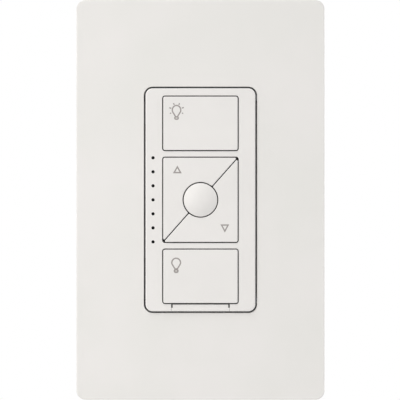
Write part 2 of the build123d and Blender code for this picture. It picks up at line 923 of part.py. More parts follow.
def make_filter_capacitor():
    """The boxed film capacitor."""
    width, height, depth = film_size
    body = slab(Pos(*film_place) * Rectangle(width, height), power_front, power_front + depth)
    return chamfer(body.faces().sort_by(Axis.Z)[-1].edges(), can_bevel)


def make_supply_capacitor():
    """The round electrolytic capacitor of the small supply."""
    can = rod(can_radius, power_front, power_front + can_height, *can_place)
    return chamfer(can.edges().sort_by(Axis.Z)[-1], can_bevel)


def make_surge_varistor():
    """The disc that clamps surges, standing on edge."""
    x, y = varistor_place
    disc = Cylinder(varistor_radius, varistor_thickness, rotation=(90, 0, 0))
    return Pos(x, y, power_front + varistor_radius) * disc


def make_fuse():
    """The fuse, lying on the board."""
    x, y = fuse_place
    barrel = Cylinder(fuse_radius, fuse_length, rotation=(0, 90, 0))
    return Pos(x, y, power_front + fuse_radius) * barrel


pieces = {
    "wallplate": make_wallplate(),
    "wallplate_adapter": make_wallplate_adapter(),
    "adapter_screws": make_adapter_screws(),
    "bezel": make_bezel(),
    "light_pipe": make_light_pipe(),
    "on_key": make_on_key(),
    "raise_key": make_raise_key(),
    "favourite_key": make_favourite_key(),
    "lower_key": make_lower_key(),
    "off_key": make_off_key(),
    "service_tab": make_service_tab(),
    "bridge_contact": make_bridge_contact(),
    "airgap_contacts": make_airgap_contacts(),
    "yoke": make_yoke(),
    "mounting_screws": make_mounting_screws(),
    "screw_retainers": make_screw_retainers(),
    "rear_housing": make_rear_housing(),
    "housing_screws": make_housing_screws(),
    "control_board": make_control_board(),
    "board_screws": make_board_screws(),
    "key_switches": make_key_switches(),
    "status_leds": make_status_leds(),
    "control_chips": make_control_chips(),
    "antenna": make_antenna(),
    "board_link": make_board_link(),
    "power_board": make_power_board(),
    "power_triac": make_power_triac(),
    "triac_pad": make_triac_pad(),
    "triac_screw": make_triac_screw(),
    "choke_core": make_choke_core(),
    "choke_winding": make_choke_winding(),
    "filter_capacitor": make_filter_capacitor(),
    "supply_capacitor": make_supply_capacitor(),
    "surge_varistor": make_surge_varistor(),
    "fuse": make_fuse(),
}
for key_name in post_places:
    pieces[f"{key_name}_plunger"] = make_plunger(key_name)

os.makedirs("parts", exist_ok=True)
for node_name, piece in pieces.items():
    export_step(Plane.XZ * piece, f"parts/{node_name}.step")
print(f"plate {plate_width:.2f} x {plate_height:.2f}, box screws {mounting_spacing:.2f} apart")
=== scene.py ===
import math

import bmesh
import bpy
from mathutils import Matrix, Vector


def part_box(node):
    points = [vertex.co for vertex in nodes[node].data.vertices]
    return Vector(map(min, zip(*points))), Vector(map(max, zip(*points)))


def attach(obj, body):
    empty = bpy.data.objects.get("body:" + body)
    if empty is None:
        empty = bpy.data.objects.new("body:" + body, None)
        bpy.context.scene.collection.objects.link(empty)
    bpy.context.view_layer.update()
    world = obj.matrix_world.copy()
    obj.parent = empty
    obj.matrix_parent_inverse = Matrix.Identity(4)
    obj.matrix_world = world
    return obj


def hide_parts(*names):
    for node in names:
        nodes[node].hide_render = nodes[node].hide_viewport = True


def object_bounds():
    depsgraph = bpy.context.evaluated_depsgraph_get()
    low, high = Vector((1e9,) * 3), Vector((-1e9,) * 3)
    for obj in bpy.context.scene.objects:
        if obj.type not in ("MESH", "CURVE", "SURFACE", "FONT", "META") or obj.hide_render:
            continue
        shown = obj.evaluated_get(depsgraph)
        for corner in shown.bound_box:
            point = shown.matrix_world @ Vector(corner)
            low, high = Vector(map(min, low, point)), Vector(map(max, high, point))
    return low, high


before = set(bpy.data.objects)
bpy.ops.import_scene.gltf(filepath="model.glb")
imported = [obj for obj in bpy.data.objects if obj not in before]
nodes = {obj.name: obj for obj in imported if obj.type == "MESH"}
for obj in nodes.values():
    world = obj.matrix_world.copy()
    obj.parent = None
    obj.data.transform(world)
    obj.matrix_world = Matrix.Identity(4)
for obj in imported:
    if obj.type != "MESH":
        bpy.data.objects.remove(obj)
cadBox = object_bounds()
mm = 0.001


# Helpers for materials

def linear(hexColour):  # sRGB hex, as a colour is written, to the linear values that nodes take
    channels = [int(hexColour[i:i + 2], 16) / 255 for i in (1, 3, 5)]
    return [c / 12.92 if c <= 0.04045 else ((c + 0.055) / 1.055) ** 2.4 for c in channels] + [1.0]


def perMetre(sizeInMm):  # texture scale whose features are about this big
    return 1 / (sizeInMm * mm)


def addNode(tree, kind, settings, links=None):  # a number as a name picks a socket by its place
    node = tree.nodes.new(kind)
    for name, value in settings.items():
        if isinstance(name, int) or name in node.inputs:
            node.inputs[name].default_value = value
        else:
            setattr(node, name, value)
    for name, source in (links or {}).items():
        tree.links.new(source, node.inputs[name])
    return node


def startMaterial(name, look):
    material = bpy.data.materials.new(name)
    material.use_nodes = True
    tree = material.node_tree
    shader = tree.nodes["Principled BSDF"]
    for socket, value in look["shader"].items():
        shader.inputs[socket].default_value = value
    place = addNode(tree, "ShaderNodeTexCoord", {}).outputs["Object"]
    return material, tree, shader, place


# Noise stays near its middle, so the part of it that matters is spread over the full range
noiseSpread = {"cloud": (0.35, 0.65), "grain": (0.3, 0.7)}
noiseDetail = {"cloud": 2.0, "grain": 3.0, "streaks": 4.0}


def finishSurface(tree, shader, look, tone, grain):  # colour, gloss and relief onto the shader
    low, high = noiseSpread["grain"]
    polish = addNode(
        tree,
        "ShaderNodeMapRange",
        {"From Min": low, "From Max": high, "To Min": look["polish"][0], "To Max": look["polish"][1]},
        {"Value": grain},
    )
    relief = addNode(
        tree,
        "ShaderNodeBump",
        {"Strength": look["relief"], "Distance": look["depth"] * mm},
        {"Height": grain},
    )
    tree.links.new(tone, shader.inputs["Base Color"])
    tree.links.new(polish.outputs["Result"], shader.inputs["Roughness"])
    tree.links.new(relief.outputs["Normal"], shader.inputs["Normal"])


# Largest part of a normal along one axis: 1 on a flat face, less where an edge is round
edgeFacing = {"flat": 0.86, "round": 0.76}


def wearAndHighlightEdges(tree, tone, edgeWearAndHighlight):  # another tone on rounded edges, which face between the axes: a painted highlight on the white parts, and wear on the black housing
    facing = addNode(tree, "ShaderNodeTexCoord", {}).outputs["Normal"]
    size = addNode(tree, "ShaderNodeVectorMath", {"operation": "ABSOLUTE"}, {0: facing})
    axes = addNode(tree, "ShaderNodeSeparateXYZ", {}, {"Vector": size.outputs["Vector"]})
    wider = addNode(
        tree, "ShaderNodeMath", {"operation": "MAXIMUM"}, {0: axes.outputs["X"], 1: axes.outputs["Y"]}
    )
    widest = addNode(
        tree, "ShaderNodeMath", {"operation": "MAXIMUM"}, {0: wider.outputs[0], 1: axes.outputs["Z"]}
    )
    share = addNode(
        tree,
        "ShaderNodeMapRange",
        {"From Min": edgeFacing["flat"], "From Max": edgeFacing["round"]},
        {"Value": widest.outputs[0]},
    )
    edged = addNode(
        tree,
        "ShaderNodeMix",
        {"data_type": "RGBA", 7: linear(edgeWearAndHighlight)},
        {"Factor": share.outputs["Result"], 6: tone},
    )
    return edged.outputs[2]


def paintedGapShade(tree, tone, place, gapShade):  # painted shade: a dark tone behind the front, between these depths, that darkens the gaps
    depth = addNode(tree, "ShaderNodeSeparateXYZ", {}, {"Vector": place})
    share = addNode(
        tree,
        "ShaderNodeMapRange",
        {"From Min": gapShade["from"] * mm, "From Max": gapShade["to"] * mm},
        {"Value": depth.outputs["Y"]},
    )
    greyed = addNode(
        tree,
        "ShaderNodeMix",
        {"data_type": "RGBA", 7: linear(gapShade["colour"])},
        {"Factor": share.outputs["Result"], 6: tone},
    )
    return greyed.outputs[2]


def mouldedFinish(name, look):  # cloudy tone from the melt, fine grain from the mould
    material, tree, shader, place = startMaterial(name, look)
    cloud = addNode(
        tree,
        "ShaderNodeTexNoise",
        {"Scale": perMetre(look["cloud"]), "Detail": noiseDetail["cloud"]},
        {"Vector": place},
    )
    low, high = noiseSpread["cloud"]
    spread = addNode(
        tree, "ShaderNodeMapRange", {"From Min": low, "From Max": high}, {"Value": cloud.outputs[0]}
    )
    blend = addNode(
        tree,
        "ShaderNodeMix",
        {"data_type": "RGBA", 6: linear(look["colour"]), 7: linear(look["shade"])},
        {"Factor": spread.outputs["Result"]},
    )
    tone = blend.outputs[2]
    # paler rounded edges: a painted highlight on the white parts, wear on the black housing
    if "edgeWearAndHighlight" in look:
        tone = wearAndHighlightEdges(tree, tone, look["edgeWearAndHighlight"])
    # painted shade that darkens the deep gaps
    if "gapShade" in look:
        tone = paintedGapShade(tree, tone, place, look["gapShade"])
    grain = addNode(
        tree,
        "ShaderNodeTexNoise",
        {"Scale": perMetre(look["grain"]), "Detail": noiseDetail["grain"]},
        {"Vector": place},
    )
    finishSurface(tree, shader, look, tone, grain.outputs[0])
    return material


def grainedFinish(name, look):  # streaks along one direction, from rolling, drawing or pressing
    material, tree, shader, place = startMaterial(name, look)
    along = addNode(tree, "ShaderNodeMapping", {"Scale": look["stretch"]}, {"Vector": place})
    streaks = addNode(
        tree,
        "ShaderNodeTexNoise",
        {"Scale": perMetre(look["grain"]), "Detail": noiseDetail["streaks"]},
        {"Vector": along.outputs["Vector"]},
    )
    low, high = noiseSpread["grain"]
    spread = addNode(
        tree, "ShaderNodeMapRange", {"From Min": low, "From Max": high}, {"Value": streaks.outputs[0]}
    )
    tone = addNode(
        tree,
        "ShaderNodeMix",
        {"data_type": "RGBA", 6: linear(look["colour"]), 7: linear(look["shade"])},
        {"Factor": spread.outputs["Result"]},
    )
    finishSurface(tree, shader, look, tone.outputs[2], streaks.outputs[0])
    return material


def maskedBoard(name, look):  # copper runs that show through the lacquer of a circuit board
    material, tree, shader, place = startMaterial(name, look)
    flat = addNode(
        tree, "ShaderNodeMapping", {"Rotation": (math.pi / 2, 0, 0)}, {"Vector": place}
    )
    runs = addNode(
        tree,
        "ShaderNodeTexBrick",
        {
            "Color1": linear(look["colour"]),
            "Color2": linear(look["shade"]),
            "Mortar": linear(look["run"]),
            "Scale": perMetre(look["pitch"]),
            "Mortar Size": look["runShare"],
            "Brick Width": look["runLength"],
            "Row Height": 1.0,
        },
        {"Vector": flat.outputs["Vector"]},
    )
    grain = addNode(
        tree,
        "ShaderNodeTexNoise",
        {"Scale": perMetre(look["grain"]), "Detail": noiseDetail["grain"]},
        {"Vector": place},
    )
    finishSurface(tree, shader, look, runs.outputs["Color"], grain.outputs[0])
    return material


def dress(material, *names):
    for name in names:
        slots = nodes[name].data.materials
        slots.clear()
        slots.append(material)


# Wallplate and adapter: white ABS from a polished mould. Semi-gloss, with a faint orange peel drawn
# coarser than it is, and a white that drifts a little where the melt flowed.
plateLook = {
    "colour": "#E9E6E2",
    "shade": "#E6E4DF",
    "cloud": 22.0,
    "grain": 1.1,
    "depth": 0.004,
    "relief": 0.35,
    "polish": (0.30, 0.38),
    "shader": {"IOR": 1.53},
}
dress(mouldedFinish("polishedWhiteAbs", plateLook), "wallplate", "wallplate_adapter")

# Keys and tab: white polycarbonate from a finely blasted mould, so it is satin and hides
# finger marks. Its rounded edges get a painted highlight. The grain is drawn coarser than
# the real 0.05 mm.
faceLook = {
    "colour": "#E9E6E2",
    "shade": "#E7E4E0",
    # painted highlight that makes the rounded edges paler
    "edgeWearAndHighlight": "#FAF8F6",
    "cloud": 14.0,
    "grain": 0.4,
    "depth": 0.003,
    "relief": 0.3,
    "polish": (0.40, 0.50),
    "shader": {"IOR": 1.58},
}
keyNames = ["on_key", "raise_key", "favourite_key", "lower_key", "off_key"]
satinPolycarbonate = mouldedFinish("satinWhitePolycarbonate", faceLook)
dress(satinPolycarbonate, "service_tab", *keyNames)

# Bezel: the same moulding, with painted shade that greys its wells and sides below the
# front, so the gaps look dark.
bezelLook = {**faceLook, "gapShade": {"colour": "#343433", "from": -6.9, "to": -6.2}}
dress(mouldedFinish("satinPolycarbonateWithPaintedShade", bezelLook), "bezel")

# Light pipe: smoked acrylic with frosted ends, all but black while the lights behind it are off.
pipeLook = {
    "colour": "#0B0B0C",
    "shade": "#121213",
    "cloud": 3.0,
    "grain": 0.6,
    "depth": 0.001,
    "relief": 0.2,
    "polish": (0.35, 0.5),
    "shader": {"IOR": 1.49, "Specular IOR Level": 0.15},
}
dress(mouldedFinish("smokedAcrylic", pipeLook), "light_pipe")

# Yoke: rolled aluminium strip, stamped flat. The rolling lines run along the strap.
yokeLook = {
    "colour": "#D3D4D4",
    "shade": "#B9BBBD",
    "grain": 0.35,
    "stretch": (1.0, 1.0, 0.03),
    "depth": 0.006,
    "relief": 0.4,
    "polish": (0.54, 0.68),
    "shader": {"Metallic": 1.0},
}
dress(grainedFinish("rolledAluminium", yokeLook), "yoke")

# Screws: zinc-plated steel, bright and faintly blue with a cloudy plating.
screwLook = {
    "colour": "#D0D2D3",
    "shade": "#AEB4BB",
    "cloud": 1.2,
    "grain": 0.3,
    "depth": 0.004,
    "relief": 0.4,
    "polish": (0.22, 0.36),
    "shader": {"Metallic": 1.0},
}
zincSteel = mouldedFinish("zincPlatedSteel", screwLook)

# Retainers: vulcanised fibre sheet, matt brown with pressed paper fibres.
fibreLook = {
    "colour": "#A9805C",
    "shade": "#8C6341",
    "grain": 0.3,
    "stretch": (0.15, 1.0, 1.0),
    "depth": 0.03,
    "relief": 0.5,
    "polish": (0.65, 0.8),
    "shader": {"IOR": 1.5},
}
dress(grainedFinish("vulcanisedFibre", fibreLook), "screw_retainers")

# Rear housing: black glass-filled nylon with a spark-eroded grain, matt with a grey bloom that is
# strongest on its edges.
housingLook = {
    "colour": "#1D1D1E",
    "shade": "#272829",
    "edgeWearAndHighlight": "#3D3E40",
    "cloud": 9.0,
    "grain": 0.35,
    "depth": 0.03,
    "relief": 0.6,
    "polish": (0.46, 0.62),
    "shader": {"IOR": 1.53},
}
dress(mouldedFinish("blackGlassNylon", housingLook), "rear_housing")

# Boards: glass laminate under green lacquer, with the copper runs as paler lines.
boardLook = {
    "colour": "#12532F",
    "shade": "#155A34",
    "run": "#2B7A4B",
    "pitch": 1.3,
    "runShare": 0.12,
    "runLength": 7.0,
    "grain": 0.5,
    "depth": 0.004,
    "relief": 0.3,
    "polish": (0.28, 0.4),
    "shader": {"IOR": 1.52},
}
dress(maskedBoard("lacqueredLaminate", boardLook), "control_board", "power_board")

# Chips, switch bodies and pin block: black moulded epoxy, dull with a fine tooth.
epoxyLook = {
    "colour": "#222224",
    "shade": "#2B2B2D",
    "cloud": 4.0,
    "grain": 0.25,
    "depth": 0.02,
    "relief": 0.5,
    "polish": (0.5, 0.65),
    "shader": {"IOR": 1.55},
}
blackEpoxy = mouldedFinish("mouldedBlackEpoxy", epoxyLook)
dress(blackEpoxy, "key_switches", "control_chips", "power_triac", "board_link")

# Plungers: grey acetal, waxy and smooth.
plungerLook = {
    "colour": "#88888B",
    "shade": "#7E7F82",
    "cloud": 2.0,
    "grain": 0.4,
    "depth": 0.002,
    "relief": 0.3,
    "polish": (0.3, 0.4),
    "shader": {"IOR": 1.48},
}
plungerNames = [name.replace("_key", "_plunger") for name in keyNames]
dress(mouldedFinish("greyAcetal", plungerLook), *plungerNames)

# Status lights: clear epoxy over a pale phosphor.
ledLook = {
    "colour": "#F3F3E6",
    "shade": "#EFE9C2",
    "cloud": 0.8,
    "grain": 0.3,
    "depth": 0.001,
    "relief": 0.2,
    "polish": (0.1, 0.2),
    "shader": {"IOR": 1.51, "Subsurface Weight": 0.2, "Subsurface Scale": 0.3 * mm},
}
dress(mouldedFinish("clearEpoxyLens", ledLook), "status_leds")

# Contacts and antenna: rolled brass strip, yellow with fine rolling lines.
brassLook = {
    "colour": "#E7CF95",
    "shade": "#CFAF69",
    "grain": 0.2,
    "stretch": (1.0, 1.0, 0.05),
    "depth": 0.004,
    "relief": 0.4,
    "polish": (0.2, 0.34),
    "shader": {"Metallic": 1.0},
}
brass = grainedFinish("rolledBrass", brassLook)
dress(brass, "bridge_contact", "airgap_contacts", "antenna")

# Choke winding: drawn copper under clear enamel, red-brown and glossy.
wireLook = {
    "colour": "#D99C74",
    "shade": "#B9673F",
    "grain": 0.25,
    "stretch": (0.3, 0.3, 0.3),
    "depth": 0.003,
    "relief": 0.3,
    "polish": (0.2, 0.3),
    "shader": {"Metallic": 1.0, "Coat Weight": 0.7, "Coat Roughness": 0.1},
}
dress(grainedFinish("enamelledCopper", wireLook), "choke_winding")

# Choke core: pressed iron powder in a mustard paint, pitted by the powder.
coreLook = {
    "colour": "#CDC47C",
    "shade": "#BDB264",
    "cloud": 1.5,
    "grain": 0.35,
    "depth": 0.05,
    "relief": 0.6,
    "polish": (0.4, 0.6),
    "shader": {"IOR": 1.5},
}
dress(mouldedFinish("paintedIronPowder", coreLook), "choke_core")

# Film capacitor: yellow polyester box, smooth.
filmLook = {
    "colour": "#E8D462",
    "shade": "#E2CB4E",
    "cloud": 6.0,
    "grain": 0.6,
    "depth": 0.004,
    "relief": 0.3,
    "polish": (0.28, 0.36),
    "shader": {"IOR": 1.57},
}
dress(mouldedFinish("yellowPolyesterBox", filmLook), "filter_capacitor")

# Supply capacitor: dark blue vinyl sleeve shrunk tight, with slight ripples.
sleeveLook = {
    "colour": "#272B3A",
    "shade": "#303549",
    "cloud": 3.0,
    "grain": 1.2,
    "depth": 0.02,
    "relief": 0.4,
    "polish": (0.2, 0.32),
    "shader": {"IOR": 1.53},
}
dress(mouldedFinish("shrunkVinyl", sleeveLook), "supply_capacitor")

# Varistor: blue dipped epoxy with a heavy orange peel.
varistorLook = {
    "colour": "#3B62BE",
    "shade": "#3256B2",
    "cloud": 3.0,
    "grain": 0.9,
    "depth": 0.03,
    "relief": 0.5,
    "polish": (0.18, 0.3),
    "shader": {"IOR": 1.55},
}
dress(mouldedFinish("dippedBlueEpoxy", varistorLook), "surge_varistor")

# Fuse: brown moulded body.
fuseLook = {
    "colour": "#8A6148",
    "shade": "#7C5440",
    "cloud": 2.5,
    "grain": 0.4,
    "depth": 0.01,
    "relief": 0.4,
    "polish": (0.3, 0.42),
    "shader": {"IOR": 1.52},
}
dress(mouldedFinish("brownThermoset", fuseLook), "fuse")

# Pad under the power switch: grey filled silicone, matt, on a glass weave that lifts its skin.
padLook = {
    "colour": "#CBCBCD",
    "shade": "#BFBFC2",
    "cloud": 4.0,
    "grain": 0.5,
    "depth": 0.02,
    "relief": 0.5,
    "polish": (0.6, 0.75),
    "shader": {"IOR": 1.41},
}
dress(mouldedFinish("filledSilicone", padLook), "triac_pad")
print("finishes:", len(bpy.data.materials), "materials")


# Helpers for modelling. New pieces are drawn in millimetres in the plane of the face, with x to the
# right, y up and z out of the wall, and are then set into the frame.
tiny = 0.001  # millimetres, for picking and merging points


def deselectAll():
    bpy.ops.object.select_all(action="DESELECT")


def editPiece(name):  # names the piece just added and opens it
    piece = bpy.context.object
    piece.name = name
    piece.data.name = name
    bpy.ops.object.mode_set(mode="EDIT")
    bpy.ops.mesh.select_mode(type="VERT")
    return piece


def pick(piece, test):  # selects the vertices that pass, with the edges and faces between them
    mesh = bmesh.from_edit_mesh(piece.data)
    for vertex in mesh.verts:
        vertex.select_set(False)
    mesh.select_flush(False)
    for vertex in mesh.verts:
        if test(vertex.co):
            vertex.select_set(True)
    mesh.select_flush(True)
    bmesh.update_edit_mesh(piece.data)


def closeEdit():
    bpy.ops.object.mode_set(mode="OBJECT")
    return bpy.context.object


def applyModifier(piece, kind, settings):
    bpy.context.view_layer.objects.active = piece
    modifier = piece.modifiers.new(kind.lower(), kind)
    for name, value in settings.items():
        setattr(modifier, name, value)
    bpy.ops.object.modifier_apply(modifier=modifier.name)


def joinPieces(parts):
    deselectAll()
    for part in parts:
        part.select_set(True)
    bpy.context.view_layer.objects.active = parts[0]
    bpy.ops.object.join()
    return parts[0]


def setInFrame(piece, place, facing=1):  # facing 1 looks out of the wall, -1 into it
    deselectAll()
    piece.select_set(True)
    bpy.context.view_layer.objects.active = piece
    piece.location = place
    piece.rotation_euler = (facing * math.pi / 2, 0, 0)
    piece.scale = (mm, mm, mm)
    bpy.ops.object.transform_apply(location=True, rotation=True, scale=True)


# Signs on the keys: warm grey ink, printed on the satin face in a thin flat film.
inkLook = {
    "colour": "#9A9490",
    "shade": "#A09A96",
    "cloud": 0.5,
    "grain": 0.2,
    "depth": 0.002,
    "relief": 0.2,
    "polish": (0.45, 0.55),
    "shader": {"IOR": 1.5},
}
signLook = {
    "line": 0.39,
    "ray": 0.35,
    "film": 0.02,
    "sunk": 0.008,  # the film reaches this far into the key
    "lap": 0.004,  # and the cap's film lies this far over that of the glass
    "glassSides": 72,
    "capRound": 0.45,
    "capSteps": 5,
    "rayRound": 0.3,
    "raySteps": 3,
}
greyInk = mouldedFinish("printedGreyInk", inkLook)


def outlineOnly(line):  # leaves a line of this width round the selected face
    bpy.ops.mesh.inset(thickness=line)
    bpy.ops.mesh.delete(type="FACE")


def printSign(sign, name, keyName, body):  # gives the flat drawing its film of ink, on its key
    applyModifier(sign, "SOLIDIFY", {"thickness": signLook["film"] + signLook["sunk"], "offset": 1.0})
    sign.data.materials.append(greyInk)
    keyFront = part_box(keyName)[0].y
    setInFrame(sign, (0, keyFront + signLook["sunk"] * mm, 0))
    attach(sign, body)
    print("sign printed:", name)


# Up and down triangles, by the middle of the base and the height
triangleSigns = {
    "raiseTriangle": {"base": (-6.89, 7.91), "width": 2.6, "height": 2.3, "key": "raise"},
    "lowerTriangle": {"base": (7.25, -7.31), "width": 2.6, "height": -2.44, "key": "lower"},
}
for name, triangle in triangleSigns.items():
    deselectAll()
    bpy.ops.mesh.primitive_circle_add(vertices=3, radius=1, fill_type="NGON", location=(0, 0, 0))
    sign = editPiece(name)
    low = min(v.co.y for v in bmesh.from_edit_mesh(sign.data).verts)
    high = max(v.co.y for v in bmesh.from_edit_mesh(sign.data).verts)
    wide = max(v.co.x for v in bmesh.from_edit_mesh(sign.data).verts)
    baseX, baseY = triangle["base"]
    grow = triangle["height"] / (high - low)
    bpy.ops.transform.translate(value=(0, -low, 0))
    bpy.ops.transform.resize(
        value=(math.copysign(triangle["width"] / (2 * wide), grow), grow, 1), center_override=(0, 0, 0)
    )
    bpy.ops.transform.translate(value=(baseX, baseY, 0))
    outlineOnly(signLook["line"])
    printSign(closeEdit(), name, triangle["key"] + "_key", triangle["key"])

# Bulbs, by the centre and radii of the glass, half the angle of its mouth, the neck and the cap below
# it, and each ray's angle, distance and length
bulbSigns = {
    "litBulbSign": {
        "centre": (-7.13, 26.73),
        "radii": (1.45, 1.57),
        "mouth": 64.0,
        "neck": (0.34, 24.50),
        "cap": (1.41, 1.08, 24.36),
        "capLine": 0.40,
        "rays": {
            66.0: (1.96, 0.60),
            114.0: (1.96, 0.60),
            20.0: (1.98, 0.64),
            162.0: (1.94, 0.64),
            -28.0: (2.03, 0.44),
            208.0: (2.03, 0.44),
        },
        "key": "on",
    },
    "bulbSign": {
        "centre": (-7.24, -18.71),
        "radii": (1.485, 1.51),
        "mouth": 66.0,
        "neck": (0.47, -20.75),
        "cap": (1.46, 1.32, -21.15),
        "capLine": 0.52,
        "rays": {},
        "key": "off",
    },
}
for name, bulb in bulbSigns.items():
    centreX, centreY = bulb["centre"]
    neckHalf, neckY = bulb["neck"]
    mouthY = centreY - bulb["radii"][1] * math.cos(math.radians(bulb["mouth"]))
    deselectAll()
    bpy.ops.mesh.primitive_circle_add(
        vertices=signLook["glassSides"], radius=1, fill_type="NOTHING", location=(0, 0, 0)
    )
    glass = editPiece(name)
    bpy.ops.transform.resize(value=(*bulb["radii"], 1))
    bpy.ops.transform.translate(value=(centreX, centreY, 0))
    pick(glass, lambda co: co.y < mouthY)
    bpy.ops.mesh.delete(type="VERT")
    lowest = min(v.co.y for v in bmesh.from_edit_mesh(glass.data).verts)
    mouthHalf = max(
        abs(v.co.x - centreX) for v in bmesh.from_edit_mesh(glass.data).verts if v.co.y < lowest + tiny
    )
    pick(glass, lambda co: co.y < lowest + tiny)
    bpy.ops.mesh.extrude_region_move(TRANSFORM_OT_translate={"value": (0, neckY - lowest, 0)})
    bpy.ops.transform.resize(value=(neckHalf / mouthHalf, 1, 1), center_override=(centreX, neckY, 0))
    bpy.ops.mesh.select_all(action="SELECT")
    bpy.ops.mesh.edge_face_add()
    outlineOnly(signLook["line"])
    parts = [closeEdit()]

    capWide, capHigh, capY = bulb["cap"]
    deselectAll()
    bpy.ops.mesh.primitive_plane_add(size=1, location=(0, 0, 0))
    cap = editPiece(name + "Cap")
    bpy.ops.transform.resize(value=(capWide, capHigh, 1))
    bpy.ops.transform.translate(value=(centreX, capY, signLook["lap"]))
    bpy.ops.mesh.bevel(
        offset=signLook["capRound"] * capHigh, segments=signLook["capSteps"], affect="VERTICES"
    )
    bpy.ops.mesh.select_all(action="SELECT")
    outlineOnly(bulb["capLine"])
    parts.append(closeEdit())

    for angle, (reach, length) in bulb["rays"].items():
        deselectAll()
        bpy.ops.mesh.primitive_plane_add(size=1, location=(0, 0, 0))
        ray = editPiece(name + "Ray")
        bpy.ops.transform.resize(value=(length, signLook["ray"], 1))
        bpy.ops.mesh.bevel(
            offset=signLook["rayRound"] * signLook["ray"],
            segments=signLook["raySteps"],
            affect="VERTICES",
        )
        bpy.ops.mesh.select_all(action="SELECT")
        bpy.ops.transform.translate(value=(centreX + reach, centreY, 0))
        bpy.ops.transform.rotate(
            value=-math.radians(angle), orient_axis="Z", center_override=(centreX, centreY, 0)
        )
        parts.append(closeEdit())
    printSign(joinPieces(parts), name, bulb["key"] + "_key", bulb["key"])


# Screws: the CAD has them plain, so here they get their threads and driver recesses. Each kind is
# modelled once, in millimetres with its seat at the origin and its head along +z, and copied. Across
# and rows count the copies over the part's width and height, and a recess is a cross of this length,
# width and depth, with a slot through it where there is a length for one.
screwKinds = {
    "mountingScrew": {
        "node": "mounting_screws",
        "facing": 1,
        "across": 1,
        "rows": 2,
        "headRadius": 3.4,
        "headHeight": 1.8,
        "neckRadius": 1.55,
        "neckLength": 2.8,
        "threadRadius": 1.75,
        "pitch": 0.794,
        "recess": (4.0, 0.9, 1.0),
        "slotLength": 7.2,
    },
    "adapterScrew": {
        "node": "adapter_screws",
        "facing": 1,
        "across": 1,
        "rows": 2,
        "headRadius": 3.2,
        "headHeight": 1.6,
        "neckRadius": 1.5,
        "neckLength": 0.4,
        "threadRadius": 1.75,
        "pitch": 0.794,
        "recess": (3.6, 0.8, 0.9),
        "slotLength": 0.0,
    },
    "housingScrew": {
        "node": "housing_screws",
        "facing": -1,
        "across": 2,
        "rows": 2,
        "headRadius": 1.9,
        "headHeight": 1.4,
        "neckRadius": 0.95,
        "neckLength": 0.4,
        "threadRadius": 1.1,
        "pitch": 0.8,
        "recess": (2.3, 0.55, 0.9),
        "slotLength": 0.0,
    },
    "boardScrew": {
        "node": "board_screws",
        "facing": 1,
        "across": 2,
        "rows": 2,
        "headRadius": 1.6,
        "headHeight": 1.1,
        "neckRadius": 0.75,
        "neckLength": 0.4,
        "threadRadius": 0.9,
        "pitch": 0.7,
        "recess": (1.9, 0.45, 0.7),
        "slotLength": 0.0,
    },
    "triacScrew": {
        "node": "triac_screw",
        "facing": -1,
        "across": 1,
        "rows": 1,
        "headRadius": 2.7,
        "headHeight": 1.8,
        "neckRadius": 1.3,
        "neckLength": 0.4,
        "threadRadius": 1.5,
        "pitch": 0.5,
        "recess": (3.1, 0.7, 1.1),
        "slotLength": 0.0,
    },
}
threadLook = {"depthShare": 0.6, "crestShare": 0.4, "steps": 24, "tipShare": 0.7}
headLook = {"sides": 48, "roundShare": 0.4, "roundSteps": 5, "recessTaper": 0.75, "smoothAngle": 40.0}


def threadedShank(screw, top, bottom):
    pitch = screw["pitch"]
    depth = threadLook["depthShare"] * pitch
    root = screw["threadRadius"] - depth
    turns = math.ceil((top - bottom) / pitch) + 2
    deselectAll()
    bpy.ops.mesh.primitive_plane_add(size=pitch, location=(0, 0, 0))
    shank = editPiece("shank")
    bpy.ops.transform.rotate(value=-math.pi / 2, orient_axis="X", center_override=(0, 0, 0))
    pick(shank, lambda co: co.x > 0)
    bpy.ops.mesh.delete(type="VERT")  # one upright edge is left, a pitch long
    bpy.ops.mesh.select_all(action="SELECT")
    bpy.ops.mesh.subdivide(number_cuts=2)
    bpy.ops.transform.translate(value=(pitch / 2 + root, 0, bottom - pitch / 2))
    pick(shank, lambda co: abs(co.z - bottom + pitch / 2) < pitch / 4)
    bpy.ops.transform.translate(value=(depth, 0, 0))
    bpy.ops.transform.resize(
        value=(1, 1, threadLook["crestShare"]), center_override=(0, 0, bottom - pitch / 2)
    )
    shank = closeEdit()
    applyModifier(
        shank,
        "SCREW",
        {
            "axis": "Z",
            "screw_offset": pitch,
            "iterations": turns,
            "steps": threadLook["steps"],
            "render_steps": threadLook["steps"],
        },
    )
    bpy.ops.object.mode_set(mode="EDIT")
    bpy.ops.mesh.select_all(action="SELECT")
    bpy.ops.mesh.remove_doubles(threshold=tiny)
    for level, side in ((top, 1), (bottom, -1)):
        bpy.ops.mesh.select_all(action="SELECT")
        bpy.ops.mesh.bisect(
            plane_co=(0, 0, level), plane_no=(0, 0, side), use_fill=True, clear_outer=True
        )
    pick(shank, lambda co: co.z < bottom + tiny)
    tip = threadLook["tipShare"]
    bpy.ops.transform.resize(value=(tip, tip, 1), center_override=(0, 0, bottom))
    bpy.ops.mesh.select_all(action="SELECT")
    bpy.ops.mesh.normals_make_consistent(inside=False)
    return closeEdit()


